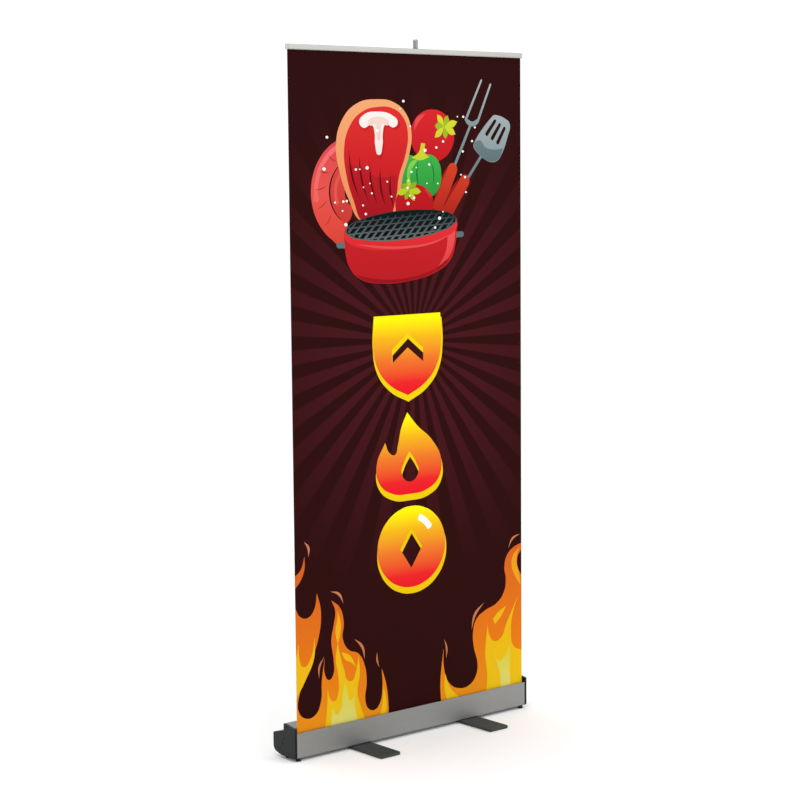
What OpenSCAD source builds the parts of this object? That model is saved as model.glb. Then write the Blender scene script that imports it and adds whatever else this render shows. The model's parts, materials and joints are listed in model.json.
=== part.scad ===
// Roll-up banner stand: a weighted aluminium base holds a spring roller, and the graphic is drawn up
// from it and hung on a sectional pole. X runs along the banner, Y to the rear and Z up, in millimetres.
// The origin is on the floor, under the middle of the base.

/* [Graphic] */
// Width of the printed graphic
banner_w = 914; // [760:1:1200]
// Height of the graphic that shows between the base and the top rail
banner_drop = 1998; // [1500:1:2400]
// Thickness of the graphic film and of its leader
banner_t = 0.3; // [0.2:0.05:0.4]

/* [Base housing] */
// Wall thickness of the base extrusion
wall = 2; // [1.5:0.1:2.6]
// Thickness of the front panel of the extrusion
fascia_t = 2.4; // [1.8:0.1:3]
// Height of the top edge of the front panel above the floor
fascia_top = 86; // [80:1:100]
// Opening between the front panel and the lip behind the graphic
slot_w = 9.6; // [8:0.1:12]
// Height of the lip behind the graphic
lip_top = 101; // [96:1:110]
// Height of the tall front chamber at its rear edge
tall_top = 108; // [106:1:120]
// Height of the rear roof where it meets the tall chamber
step_top = 87; // [82:1:98]
// Height of the rear roof at the back wall
rear_top = 73; // [70:1:86]
// Overhang of the base past each edge of the graphic
base_overhang = 6; // [4:0.5:12]
// Radius of the rounded lower rear edge
rear_round = 20; // [14:1:24]
// Thickness of each moulded end cap
cap_t = 8; // [7:0.5:12]
// Outer wall of an end cap, outside its pocket
cap_wall = 4; // [3.4:0.1:4.5]

/* [Roller] */
// Outer diameter of the roller tube
roller_d = 32; // [28:1:40]
// Wall thickness of the roller tube
roller_wall = 1.5; // [1:0.1:2]
// Diameter of the fixed spring shaft and of the idle pin
shaft_d = 8; // [6:0.5:9]
// Diameter of the guide rod that turns the web upwards
rod_d = 8; // [6:0.5:10]
// Wire diameter of the torsion spring
spring_wire = 2; // [1.6:0.1:2.2]
// Number of turns in the torsion spring
spring_turns = 30; // [20:1:36]

/* [Pole] */
// Outer diameter of the pole
pole_d = 16; // [13:0.5:20]
// Wall thickness of the pole tubes
pole_wall = 1; // [0.8:0.1:1.5]
// Distance of the pole from the middle of the banner, to the right
pole_x = 40; // [-60:1:60]
// Height of the pole tip above the top rail
pole_stub = 29; // [22:1:60]
// Length of the solid tip above the last tube
pole_tip_h = 27; // [18:1:40]
// Length of each joining ferrule
ferrule_l = 90; // [60:1:120]
// Diameter of the elastic cord inside the pole
cord_d = 3; // [2:0.5:4]
// Wall thickness of the moulded pole socket
socket_wall = 2; // [1.5:0.1:3]

/* [Top rail] */
// Height of the top rail
rail_h = 16; // [13:0.5:20]
// Depth of the top rail, front to back
rail_t = 14; // [12:0.5:15]
// Thickness of each rail end cap
rail_cap_t = 2.5; // [2:0.1:4]

/* [Feet] */
// Length of each swivel foot
foot_len = 390; // [300:1:420]
// Width of each swivel foot
foot_w = 75; // [60:1:90]
// Height of the top face of a foot above the floor
foot_top = 9.2; // [8.5:0.1:12]
// Thickness of the folded foot sheet
foot_sheet = 2.5; // [2:0.1:3]
// Shank diameter of the pivot bolt
bolt_d = 8; // [6:0.5:10]
// Diameter of a rubber pad under the base
pad_d = 16; // [12:0.5:20]

/* [Hidden] */
$fn = 48;
// Radial clearance of a shaft that turns or slides in its hole
running_fit = 0.06;
// Radial clearance of a piece that is pressed or glued in place
fixed_fit = 0.06;
// Gap between pieces that move past each other
gap = 0.3;
bury = 1;

// Heights
washer_t = 0.5;
base_z = foot_top + gap + washer_t;
floor_z = base_z + wall;
rail_z = fascia_top + banner_drop;
rail_top = rail_z + rail_h;
pole_top = rail_top + pole_stub;

// Lengths along the banner
half_w = banner_w / 2;
base_half = half_w + base_overhang;
cap_half = base_half + cap_t;
tube_half = half_w + 1;

// Web, wraps and full roll: the film that is drawn out fills a ring around the roller
roller_r = roller_d / 2;
wrap_r = roller_r + 2 * banner_t;
full_roll_r = sqrt(wrap_r * wrap_r + banner_drop * banner_t / PI);

// Places from front to rear, with the depth of the base as their sum
socket_gap = 1.5;
socket_r = pole_d / 2 + socket_wall;
port_room = 18;
roll_gap = 6.3;
tall_d = fascia_t + slot_w + wall + socket_gap + 2 * socket_r + port_room + wall;
base_d = tall_d + 2 * full_roll_r + roll_gap + wall;
front_y = -base_d / 2;
rear_y = base_d / 2;
lip_y = front_y + fascia_t + slot_w;
web_y = lip_y - 4;
pole_y = lip_y + wall + socket_gap + socket_r;
tall_rear_y = front_y + tall_d;
axis_y = tall_rear_y + full_roll_r;
axis_z = floor_z + 12.4 + full_roll_r;
flat_end_y = 16;
round_c = [rear_y - rear_round, base_z + rear_round + 5.5];
round_start = -75;

// Lip, roof and screw ports of the extrusion
lip_bottom = 60;
roof_slope = (tall_top - lip_top) / (tall_rear_y - lip_y);
port_r = 3.2;
port_hole_r = 1.6;
port_a = [pole_y + socket_r + 4, lip_top + (pole_y + socket_r + 4 - lip_y) * roof_slope - wall - port_r + 0.6];
port_b = [tall_rear_y - wall / 2, 62];

// End caps
cap_lap = 0.5;
cap_front_top = 100;
cap_rim = 3;
pocket = cap_t - cap_wall;
bracket_t = 2;
bracket_r = full_roll_r;
bracket_screw_r = 16.4;
bracket_screw_angles = [180, 258];
screw_r = 1.5;
screw_head_r = 3.2;
screw_head_t = 2.2;
screw_l = 14;
port_screw_hole_r = screw_r + 0.2;

// Guide rod and the web around it
rod_r = rod_d / 2;
web_r = rod_r + gap + banner_t / 2;
rod_y = web_y + web_r;
rod_z = floor_z + 8 + rod_r;
leader_top = 74;
web_from = [axis_y, axis_z - wrap_r - gap - banner_t / 2];
web_reach = norm(web_from - [rod_y, rod_z]);
web_leave = atan2(web_from.y - rod_z, web_from.x - rod_y) - acos(web_r / web_reach);

// Spring motor
shaft_r = shaft_d / 2;
tube_in_r = roller_r - roller_wall;
square_w = shaft_d * 0.7;
plug_flange_t = 1;
plug_flange_r = roller_r + 2;
plug_l = 20;
seat_l = 10;
spring_pitch = 4.8;
spring_r = shaft_r + 5.5;
spring_len = spring_turns * spring_pitch;
spring_seat_r = spring_r - spring_wire / 2 - 0.4;
spring_x = -tube_half + plug_l + 2;
anchor_x = spring_x + spring_len + spring_wire / 2 + gap;
anchor_t = 8;
anchor_r = tube_in_r - 2;
idle_pin_l = 28;
wire_sides = 6;
turn_steps = 10;

// Pole
pole_r = pole_d / 2;
pole_in_r = pole_r - pole_wall;
ferrule_r = pole_in_r - 0.05;
ferrule_in_r = cord_d / 2 + 3.5;
socket_z = rod_z + rod_r + 7;
socket_floor = 2;
collar_r = socket_r + 3;
collar_t = 2;
pole_z = socket_z + socket_floor + gap;
pole_foot_t = 3;
pole_plug_l = 20;
tube_top = pole_top - pole_tip_h;
section = (tube_top - pole_z - pole_foot_t) / 3;
joint_a = pole_z + pole_foot_t + section;
joint_b = joint_a + section;
cord_hole_r = cord_d / 2 + 0.3;
tip_r = pole_r - 0.5;
cord_end = 4;

// Top rail and its clip
channel_r = 4;
channel_slot = 2.4;
strip_r = 3.4;
strip_tail = 1.4;
rail_round = 3;
rail_mid_z = rail_z + rail_h / 2;
rail_back_y = web_y + rail_t / 2;
clip_h = rail_h - 4;
clip_wall = 2.4;
clip_front_y = pole_y - pole_r - running_fit;
clip_mouth = pole_d * 0.7;
clip_screw_x = pole_r + clip_wall + 5.6;
clip_plate_half = clip_screw_x + 6;
clip_screw_l = rail_t / 2 - channel_r - 0.2;

// Feet and pads
pad_zone = 48;
pivot_x = base_half - foot_len / 2 - pad_zone;
flange_bottom = 1.2;
foot_round = 4;
foot_pad_w = 18;
bolt_r = bolt_d / 2;
head_r = bolt_r * 2;
head_t = 3;
nut_t = 5;
washer_r = 10;
pad_x = base_half - pad_d / 2 - 3;
pad_front_y = front_y + pad_d / 2 + 1.5;
pad_rear_y = flat_end_y - pad_d / 2 - 2;
peg_r = 3;

// ---- helpers ----

// Points of an arc about c from angle a to angle b, in n steps
function arc(c, r, a, b, n) = [for (i = [0:n]) c + r * [cos(a + (b - a) * i / n), sin(a + (b - a) * i / n)]];

function reversed(p) = [for (i = [len(p) - 1:-1:0]) p[i]];

function unit(v) = v / norm(v);

// Direction of a path at its point i
function heading(p, i) = unit(p[min(i + 1, len(p) - 1)] - p[max(i - 1, 0)]);

// Points of a path moved sideways by s
function beside(p, s) = [for (i = [0:len(p) - 1]) p[i] + s * [-heading(p, i).y, heading(p, i).x]];

// Closed outline of a strip of thickness t along a path
function strip(p, t) = concat(beside(p, t / 2), reversed(beside(p, -t / 2)));

// Outline of a rectangle of w by l about the origin, with round corners of radius r
function rounded(w, l, r) = concat(
    arc([w / 2 - r, l / 2 - r], r, 0, 90, 6),
    arc([r - w / 2, l / 2 - r], r, 90, 180, 6),
    arc([r - w / 2, r - l / 2], r, 180, 270, 6),
    arc([w / 2 - r, r - l / 2], r, 270, 360, 6)
);

// A section in the Y-Z plane, extruded along X from a to b
module along_x(points, a, b) {
    translate([a, 0, 0]) rotate([90, 0, 90]) linear_extrude(b - a) polygon(points);
}

// A round bar of radius r along X from a to b, with its axis at [y, z]
module rod_x(at, r, a, b) {
    translate([a, at.x, at.y]) rotate([0, 90, 0]) cylinder(r = r, h = b - a);
}

module tube_z(r_out, r_in, a, b) {
    difference() {
        translate([0, 0, a]) cylinder(r = r_out, h = b - a);
        translate([0, 0, a - bury]) cylinder(r = r_in, h = b - a + 2 * bury);
    }
}

module at_pole() {
    translate([pole_x, pole_y, 0]) children();
}

module at_pads() {
    for (x = [-pad_x, pad_x]) {
        for (y = [pad_front_y, pad_rear_y]) translate([x, y, 0]) children();
    }
}

module at_pivots() {
    for (x = [-pivot_x, pivot_x]) translate([x, 0, 0]) children();
}

// ---- base housing ----

// Cross-section of the open extrusion: front panel, floor, rear wall, roof, partition and lip
function housing_section() = concat(
    [
        [front_y, base_z + 2],
        [front_y + 2, base_z],
        [flat_end_y, base_z]
    ],
    arc(round_c, rear_round, round_start, 0, 10),
    [
        [rear_y, rear_top],
        [tall_rear_y, step_top],
        [tall_rear_y, tall_top],
        [lip_y, lip_top],
        [lip_y, lip_bottom],
        [lip_y + wall, lip_bottom],
        [lip_y + wall, lip_top - wall],
        [tall_rear_y - wall, tall_top - wall],
        [tall_rear_y - wall, port_b.y],
        [tall_rear_y, port_b.y],
        [tall_rear_y, step_top - wall],
        [rear_y - wall, rear_top - wall]
    ],
    arc(round_c, rear_round - wall, 0, round_start, 10),
    [
        [flat_end_y, floor_z],
        [front_y + fascia_t, floor_z],
        [front_y + fascia_t, fascia_top],
        [front_y, fascia_top]
    ]
);

module base_housing() {
    color("silver") difference() {
        union() {
            along_x(housing_section(), -base_half, base_half);
            rod_x(port_a, port_r, -base_half, base_half);
            rod_x(port_b, port_r, -base_half, base_half);
        }
        rod_x(port_a, port_hole_r, -base_half - bury, base_half + bury);
        rod_x(port_b, port_hole_r, -base_half - bury, base_half + bury);
        at_pole() translate([0, 0, lip_bottom]) cylinder(r = socket_r + fixed_fit, h = tall_top);
        at_pivots() translate([0, 0, base_z - bury]) cylinder(r = bolt_r + fixed_fit, h = wall + 2 * bury);
        at_pads() translate([0, 0, base_z - bury]) cylinder(r = peg_r + fixed_fit, h = wall + 2 * bury);
    }
}

// Outline of an end cap, set in by i on every side
function cap_outline(i) = concat(
    [
        [front_y - cap_lap + i, base_z + 2],
        [front_y - cap_lap + 2 + i / 2, base_z + i],
        [flat_end_y, base_z + i]
    ],
    arc(round_c, rear_round - i, round_start, 0, 10),
    [
        [rear_y - i, rear_top - i],
        [tall_rear_y - i, step_top - i],
        [tall_rear_y - i, tall_top - i],
        [front_y - cap_lap + i, cap_front_top - i]
    ]
);

function bracket_screw_at(a) = [axis_y, axis_z] + bracket_screw_r * [cos(a), sin(a)];

// Left end cap: a tray with bosses for its screws and the guide rod
module cap_shape() {
    inner = -base_half;
    outer = -cap_half;
    difference() {
        union() {
            difference() {
                along_x(cap_outline(0), outer, inner);
                along_x(cap_outline(cap_rim), inner - pocket, inner + bury);
            }
            for (at = [port_a, port_b]) rod_x(at, port_r + 1.5, outer + bury, inner);
            rod_x([rod_y, rod_z], rod_r + 2.5, outer + bury, inner);
        }
        for (at = [port_a, port_b]) {
            rod_x(at, port_screw_hole_r, outer - bury, inner + bury);
            rod_x(at, screw_head_r + 0.2, outer - bury, outer + screw_head_t);
        }
        for (a = bracket_screw_angles) {
            rod_x(bracket_screw_at(a), port_screw_hole_r, outer - bury, inner + bury);
            rod_x(bracket_screw_at(a), screw_head_r + 0.2, outer - bury, outer + screw_head_t);
        }
        rod_x([rod_y, rod_z], rod_r + fixed_fit, inner - pocket, inner + bury);
    }
}

module end_cap_left() {
    color("dimgray") cap_shape();
}

module end_cap_right() {
    color("dimgray") mirror([1, 0, 0]) cap_shape();
}

// Pan-head screw along +X from the outer face of the left cap, with a cross recess
module cap_screw(at, length) {
    head_x = -cap_half + 0.2;
    difference() {
        union() {
            rod_x(at, screw_head_r, head_x, -cap_half + screw_head_t);
            rod_x(at, screw_r, -cap_half + screw_head_t - bury, -cap_half + screw_head_t + length);
        }
        for (turn = [0, 90]) {
            translate([head_x, at.x, at.y]) rotate([turn, 0, 0]) cube([2.2, 0.8, 3.6], center = true);
        }
    }
}

module both_ends() {
    children();
    mirror([1, 0, 0]) children();
}

module cap_screws() {
    color("black") both_ends() {
        cap_screw(port_a, screw_l);
        cap_screw(port_b, screw_l);
    }
}

module bracket_screws() {
    color("black") both_ends() {
        for (a = bracket_screw_angles) cap_screw(bracket_screw_at(a), cap_wall - screw_head_t + 5);
    }
}

// Steel bracket in the pocket of the left cap, with a square seat for the roller's fixed shaft
module bracket_shape() {
    face = -base_half - pocket;
    seat_end = -tube_half - plug_flange_t - 0.5;
    difference() {
        union() {
            rod_x([axis_y, axis_z], bracket_r - 2, face, face + bracket_t);
            rod_x([axis_y, axis_z], shaft_r + 4, face, seat_end);
            for (a = bracket_screw_angles) rod_x(bracket_screw_at(a), 3.2, face, face + 3.5);
        }
        translate([face - bury, axis_y - square_w / 2 - fixed_fit, axis_z - square_w / 2 - fixed_fit])
            cube([seat_end - face + 2 * bury, square_w + 2 * fixed_fit, square_w + 2 * fixed_fit]);
        for (a = bracket_screw_angles) {
            rod_x(bracket_screw_at(a), screw_r + fixed_fit, face - bury, face + 4.5);
        }
    }
}

module axle_bracket_left() {
    color("lightgray") bracket_shape();
}

module axle_bracket_right() {
    color("lightgray") mirror([1, 0, 0]) bracket_shape();
}

module guide_rod() {
    color("lightgray") rod_x([rod_y, rod_z], rod_r, -base_half - pocket, base_half + pocket);
}

module slot_felt() {
    thick = web_y - banner_t / 2 - 1 - front_y - fascia_t;
    color("darkslategray") translate([-base_half, front_y + fascia_t, fascia_top - 14])
        cube([2 * base_half, thick, 10]);
}

// Moulded socket for the pole, hung in the roof of the tall chamber by its collar
module pole_socket() {
    color("dimgray") difference() {
        union() {
            at_pole() translate([0, 0, socket_z]) cylinder(r = socket_r, h = tall_top + collar_t - socket_z);
            difference() {
                at_pole() translate([0, 0, lip_top - 4]) cylinder(r = collar_r, h = tall_top + collar_t - lip_top + 4);
                roof_wedge();
            }
        }
        at_pole() translate([0, 0, socket_z + socket_floor])
            cylinder(r = pole_r + running_fit, h = tall_top);
    }
}

// Everything under the outer face of the tall chamber's roof, near the pole
module roof_wedge() {
    low = lip_y - bury;
    high = tall_rear_y + bury;
    along_x([
        [low, lip_top - 10],
        [high, lip_top - 10],
        [high, tall_top + bury * roof_slope],
        [low, lip_top - bury * roof_slope]
    ], pole_x - collar_r - bury, pole_x + collar_r + bury);
}

// ---- spring roller ----

// Fixed shaft with a square end at the left, from the bracket to the far side of the spring
module spring_shaft() {
    start = -base_half - pocket;
    round_start_x = -tube_half - plug_flange_t - 0.5;
    color("gray") {
        translate([start, axis_y - square_w / 2, axis_z - square_w / 2])
            cube([round_start_x - start + bury, square_w, square_w]);
        rod_x([axis_y, axis_z], shaft_r, round_start_x, anchor_x + anchor_t);
    }
}

module spring_anchor() {
    color("white") difference() {
        union() {
            rod_x([axis_y, axis_z], anchor_r, anchor_x, anchor_x + anchor_t);
            rod_x([axis_y, axis_z], spring_seat_r, anchor_x - seat_l, anchor_x + bury);
        }
        rod_x([axis_y, axis_z], shaft_r + fixed_fit, anchor_x - seat_l - bury, anchor_x + anchor_t + bury);
    }
}

// Point k of the wire's section at step i of the helix
function wire_point(i, k) =
    let (
        turn = 360 * i / turn_steps,
        side = 360 * k / wire_sides,
        reach = spring_r + spring_wire / 2 * cos(side)
    )
    [
        spring_x + spring_wire / 2 + spring_pitch * i / turn_steps + spring_wire / 2 * sin(side),
        axis_y + reach * cos(turn),
        axis_z + reach * sin(turn)
    ];

// A closed coil from the driven plug to the fixed anchor
module torsion_spring() {
    last = round((spring_turns - 0.5) * turn_steps);
    points = [for (i = [0:last]) for (k = [0:wire_sides - 1]) wire_point(i, k)];
    sides = [
        for (i = [0:last - 1]) for (k = [0:wire_sides - 1])
            let (a = i * wire_sides, b = a + wire_sides, n = (k + 1) % wire_sides)
            [a + k, b + k, b + n, a + n]
    ];
    ends = [
        [for (k = [0:wire_sides - 1]) k],
        [for (k = [wire_sides - 1:-1:0]) last * wire_sides + k]
    ];
    color("gray") polyhedron(points, concat(sides, ends));
}

module idle_pin() {
    start = tube_half + plug_flange_t + 0.5;
    color("gray") {
        translate([start - bury, axis_y - square_w / 2, axis_z - square_w / 2])
            cube([base_half + pocket - start + bury, square_w, square_w]);
        rod_x([axis_y, axis_z], shaft_r, start - idle_pin_l, start);
    }
}

module roller_tube() {
    color("silver") difference() {
        rod_x([axis_y, axis_z], roller_r, -tube_half, tube_half);
        rod_x([axis_y, axis_z], tube_in_r, -tube_half - bury, tube_half + bury);
    }
}

// Flanged plug pressed into the left end of the tube
module plug_shape(bore_l) {
    difference() {
        union() {
            rod_x([axis_y, axis_z], plug_flange_r, -tube_half - plug_flange_t, -tube_half);
            rod_x([axis_y, axis_z], tube_in_r - fixed_fit, -tube_half - plug_flange_t / 2, -tube_half + plug_l);
            children();
        }
        rod_x([axis_y, axis_z], shaft_r + running_fit, -tube_half - plug_flange_t - bury, -tube_half + bore_l);
    }
}

module spring_plug() {
    color("dimgray") plug_shape(plug_l + seat_l + bury)
        rod_x([axis_y, axis_z], spring_seat_r, -tube_half + plug_l - bury, -tube_half + plug_l + seat_l);
}

module idle_plug() {
    color("dimgray") mirror([1, 0, 0]) plug_shape(idle_pin_l + bury) {
        rod_x([axis_y, axis_z], shaft_r + 3, -tube_half + plug_l - bury, -tube_half + idle_pin_l + 3);
    }
}

module leader_wraps() {
    color("whitesmoke") difference() {
        rod_x([axis_y, axis_z], wrap_r, -half_w, half_w);
        rod_x([axis_y, axis_z], roller_r + fixed_fit, -half_w - bury, half_w + bury);
    }
}

// ---- graphic ----

// Blank film from the roller, under the guide rod and up to the graphic
module leader_web() {
    route = concat(
        [web_from],
        arc([rod_y, rod_z], web_r, web_leave, -180, 10),
        [[web_y, leader_top]]
    );
    color("whitesmoke") along_x(strip(route, banner_t), -half_w, half_w);
}

module graphic() {
    color("maroon") translate([-half_w, web_y - banner_t / 2, leader_top + gap])
        cube([banner_w, banner_t, rail_z + 0.8 - leader_top - gap]);
}

// ---- top rail ----

module rail_block(a, b, inset) {
    w = rail_t - 2 * inset;
    h = rail_h - 2 * inset;
    translate([a, web_y, rail_mid_z]) rotate([90, 0, 90])
        linear_extrude(b - a) polygon(rounded(w, h, rail_round));
}

module clip_screw_places() {
    for (side = [-1, 1]) {
        translate([pole_x + side * clip_screw_x, rail_back_y, rail_mid_z]) rotate([-90, 0, 0]) children();
    }
}

// Hollow extrusion, open below, with a round channel for the hanger strip
module top_rail() {
    color("lightgray") difference() {
        rail_block(-half_w, half_w, 0);
        rod_x([web_y, rail_mid_z], channel_r, -half_w - bury, half_w + bury);
        translate([-half_w - bury, web_y - channel_slot / 2, rail_z - bury])
            cube([banner_w + 2 * bury, channel_slot, rail_h / 2]);
        clip_screw_places() translate([0, 0, -clip_screw_l]) cylinder(r = screw_r + fixed_fit, h = clip_screw_l + bury);
    }
}

module hanger_strip() {
    color("white") {
        rod_x([web_y, rail_mid_z], strip_r, -half_w, half_w);
        translate([-half_w, web_y - strip_tail / 2, rail_z + 1]) cube([banner_w, strip_tail, rail_h / 2 - 1]);
    }
}

module rail_cap_shape() {
    rail_block(-half_w - rail_cap_t, -half_w, 0);
}

module rail_cap_left() {
    color("lightgray") rail_cap_shape();
}

module rail_cap_right() {
    color("lightgray") mirror([1, 0, 0]) rail_cap_shape();
}

// Snap ring on the back of the rail: it grips the pole and slides along it
module pole_clip() {
    low = rail_mid_z - clip_h / 2;
    ring_r = pole_r + running_fit + clip_wall;
    color("dimgray") difference() {
        union() {
            at_pole() translate([0, 0, low]) cylinder(r = ring_r, h = clip_h);
            translate([pole_x - clip_plate_half, rail_back_y, low])
                cube([2 * clip_plate_half, clip_front_y - rail_back_y, clip_h]);
        }
        translate([pole_x - ring_r, rail_back_y - ring_r, low - bury])
            cube([2 * ring_r, ring_r, clip_h + 2 * bury]);
        at_pole() translate([0, 0, low - bury]) cylinder(r = pole_r + running_fit, h = clip_h + 2 * bury);
        at_pole() translate([-clip_mouth / 2, 0, low - bury]) cube([clip_mouth, 2 * ring_r, clip_h + 2 * bury]);
        clip_screw_places() translate([0, 0, -bury]) cylinder(r = screw_r + fixed_fit, h = 2 * ring_r);
    }
}

module clip_screws() {
    plate_t = clip_front_y - rail_back_y;
    color("gray") clip_screw_places() difference() {
        union() {
            translate([0, 0, -clip_screw_l]) cylinder(r = screw_r, h = clip_screw_l + plate_t + bury / 2);
            translate([0, 0, plate_t]) cylinder(r = 2.8, h = 1.6);
        }
        for (turn = [0, 90]) {
            translate([0, 0, plate_t + 1.6]) rotate([0, 0, turn]) cube([3.2, 0.7, 1.6], center = true);
        }
    }
}

// ---- pole ----

module pole_lower() {
    color("silver") at_pole() tube_z(pole_r, pole_in_r, pole_z + pole_foot_t, joint_a - gap);
}

module pole_foot() {
    color("dimgray") at_pole() difference() {
        union() {
            translate([0, 0, pole_z]) cylinder(r = pole_r, h = pole_foot_t);
            translate([0, 0, pole_z]) cylinder(r = pole_in_r - fixed_fit, h = pole_foot_t + pole_plug_l);
        }
        translate([0, 0, pole_z + cord_end]) cylinder(r = cord_hole_r, h = pole_plug_l);
    }
}

module ferrule(middle) {
    at_pole() tube_z(ferrule_r, ferrule_in_r, middle - ferrule_l / 2, middle + ferrule_l / 2);
}

module ferrule_lower() {
    color("gray") ferrule(joint_a);
}

module shock_cord() {
    color("black") at_pole() translate([0, 0, pole_z + cord_end])
        cylinder(r = cord_d / 2, h = tube_top - pole_z);
}

module pole_middle() {
    color("silver") at_pole() tube_z(pole_r, pole_in_r, joint_a, joint_b - gap);
}

module ferrule_upper() {
    color("gray") ferrule(joint_b);
}

module pole_upper() {
    color("silver") at_pole() tube_z(pole_r, pole_in_r, joint_b, tube_top);
}

module pole_tip() {
    chamfer = 3;
    color("gray") at_pole() difference() {
        union() {
            translate([0, 0, tube_top - pole_plug_l]) cylinder(r = pole_in_r - fixed_fit, h = pole_plug_l + bury);
            translate([0, 0, tube_top]) cylinder(r = tip_r, h = pole_tip_h - chamfer);
            translate([0, 0, pole_top - chamfer]) cylinder(r1 = tip_r, r2 = tip_r - 2, h = chamfer);
        }
        translate([0, 0, tube_top - pole_plug_l - bury])
            cylinder(r = cord_hole_r, h = pole_plug_l + cord_end + 2 * bury);
    }
}

// ---- feet ----

// Folded steel plate with down-turned edges, crosswise under the base
module foot_shape() {
    inner_top = foot_top - foot_sheet;
    difference() {
        translate([0, 0, flange_bottom])
            linear_extrude(foot_top - flange_bottom) polygon(rounded(foot_w, foot_len, foot_round));
        translate([0, 0, -bury]) linear_extrude(inner_top + bury)
            polygon(rounded(foot_w - 2 * foot_sheet, foot_len - 2 * foot_sheet, foot_round - foot_sheet));
        translate([0, 0, -bury]) cylinder(r = bolt_r + running_fit, h = foot_top + 2 * bury);
    }
}

module foot_pads_shape() {
    inset = foot_sheet + 1;
    for (side = [-1, 1]) {
        translate([-foot_w / 2 + inset, side * (foot_len / 2 - inset - foot_pad_w / 2) - foot_pad_w / 2, 0])
            cube([foot_w - 2 * inset, foot_pad_w, foot_top - foot_sheet]);
    }
}

module foot_left() {
    color("darkslategray") translate([-pivot_x, 0, 0]) foot_shape();
}

module foot_right() {
    color("darkslategray") translate([pivot_x, 0, 0]) foot_shape();
}

module foot_pads_left() {
    color("black") translate([-pivot_x, 0, 0]) foot_pads_shape();
}

module foot_pads_right() {
    color("black") translate([pivot_x, 0, 0]) foot_pads_shape();
}

// Low-head bolt from below, through the foot, the washer and the floor of the base
module pivot_bolts() {
    head_top = foot_top - foot_sheet - gap;
    color("gray") at_pivots() difference() {
        union() {
            translate([0, 0, head_top - head_t]) cylinder(r = head_r, h = head_t);
            translate([0, 0, head_top - bury]) cylinder(r = bolt_r, h = floor_z + nut_t + 1 - head_top + bury);
        }
        translate([0, 0, head_top - head_t - bury]) cylinder(r = bolt_r * 0.7, h = bury + 2, $fn = 6);
    }
}

module pivot_washers() {
    color("white") at_pivots() tube_z(washer_r, bolt_r + fixed_fit, base_z - washer_t, base_z);
}

module pivot_nuts() {
    color("gray") at_pivots() difference() {
        translate([0, 0, floor_z]) cylinder(r = bolt_r * 1.9, h = nut_t, $fn = 6);
        translate([0, 0, floor_z - bury]) cylinder(r = bolt_r + fixed_fit, h = nut_t + 2 * bury);
    }
}

// Rubber pads under both ends of the base, each pegged into the floor
module base_pads() {
    color("black") at_pads() {
        cylinder(r = pad_d / 2, h = base_z);
        translate([0, 0, base_z - bury]) cylinder(r = peg_r, h = wall + 3 + bury);
    }
}

base_housing();
end_cap_left();
end_cap_right();
cap_screws();
bracket_screws();
axle_bracket_left();
axle_bracket_right();
guide_rod();
slot_felt();
pole_socket();
spring_shaft();
spring_anchor();
torsion_spring();
idle_pin();
leader_web();
graphic();
base_pads();
pivot_bolts();
pivot_washers();
pivot_nuts();
roller_tube();
spring_plug();
idle_plug();
leader_wraps();
top_rail();
hanger_strip();
rail_cap_left();
rail_cap_right();
pole_clip();
clip_screws();
pole_lower();
pole_foot();
ferrule_lower();
shock_cord();
pole_middle();
ferrule_upper();
pole_upper();
pole_tip();
foot_left();
foot_pads_left();
foot_right();
foot_pads_right();
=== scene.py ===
# %% [markdown]
# # A roll-up banner stand
# A weighted aluminium base hides a spring roller. The printed film is pulled up out of a slot in the
# base and its top rail hooks onto a pole in three sections. This lesson dresses the measured model with
# finishes, eased edges and a printed picture, and leaves every size as it is.

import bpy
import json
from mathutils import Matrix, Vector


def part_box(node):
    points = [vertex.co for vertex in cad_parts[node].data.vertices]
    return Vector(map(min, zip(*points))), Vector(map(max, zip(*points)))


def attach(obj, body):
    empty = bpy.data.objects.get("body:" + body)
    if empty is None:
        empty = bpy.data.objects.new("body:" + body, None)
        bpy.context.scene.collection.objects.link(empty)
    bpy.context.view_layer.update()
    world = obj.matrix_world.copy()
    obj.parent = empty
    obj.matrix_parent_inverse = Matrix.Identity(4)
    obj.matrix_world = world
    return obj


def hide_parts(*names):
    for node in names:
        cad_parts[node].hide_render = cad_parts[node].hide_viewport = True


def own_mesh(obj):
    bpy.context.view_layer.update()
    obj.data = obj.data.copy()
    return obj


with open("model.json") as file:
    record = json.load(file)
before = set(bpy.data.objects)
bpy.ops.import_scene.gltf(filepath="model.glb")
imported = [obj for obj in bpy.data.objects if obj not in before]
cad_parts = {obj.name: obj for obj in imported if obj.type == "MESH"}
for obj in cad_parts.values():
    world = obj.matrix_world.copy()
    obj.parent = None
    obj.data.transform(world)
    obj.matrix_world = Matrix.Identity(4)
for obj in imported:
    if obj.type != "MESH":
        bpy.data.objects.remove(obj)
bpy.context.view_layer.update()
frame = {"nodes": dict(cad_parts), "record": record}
print("pieces in the measured model:", len(frame["nodes"]))

# %% [markdown]
# ## Tools and units
# Everything is in metres. The picture on the film is easier to think about in millimetres across the
# film and up from the floor, so one named value turns millimetres into metres.

# %% Imports and units
import json
import math
import random

import bmesh
import bpy
from mathutils import Matrix, Vector

MM = 0.001
scene = bpy.context.scene


def tone(red, green, blue):
    """A colour as it is read off a paint chart, from 0 to 255, in the linear light that shaders use."""
    chart = [part / 255 for part in (red, green, blue)]
    light = [c / 12.92 if c <= 0.04045 else ((c + 0.055) / 1.055) ** 2.4 for c in chart]
    return (*light, 1.0)


film_low, film_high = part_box("graphic")
film_front = film_low.y
print("film face is", round(-film_front / MM, 2), "mm in front of the middle of the base")

# %% [markdown]
# ## The camera
# The stand is seen from its left and a little above the middle, with a long lens from about six metres,
# so its upright edges stay nearly parallel. Yaw turns the camera toward the right, pitch tips it down,
# and the small roll is the tilt of a tripod that is not quite level.

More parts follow.
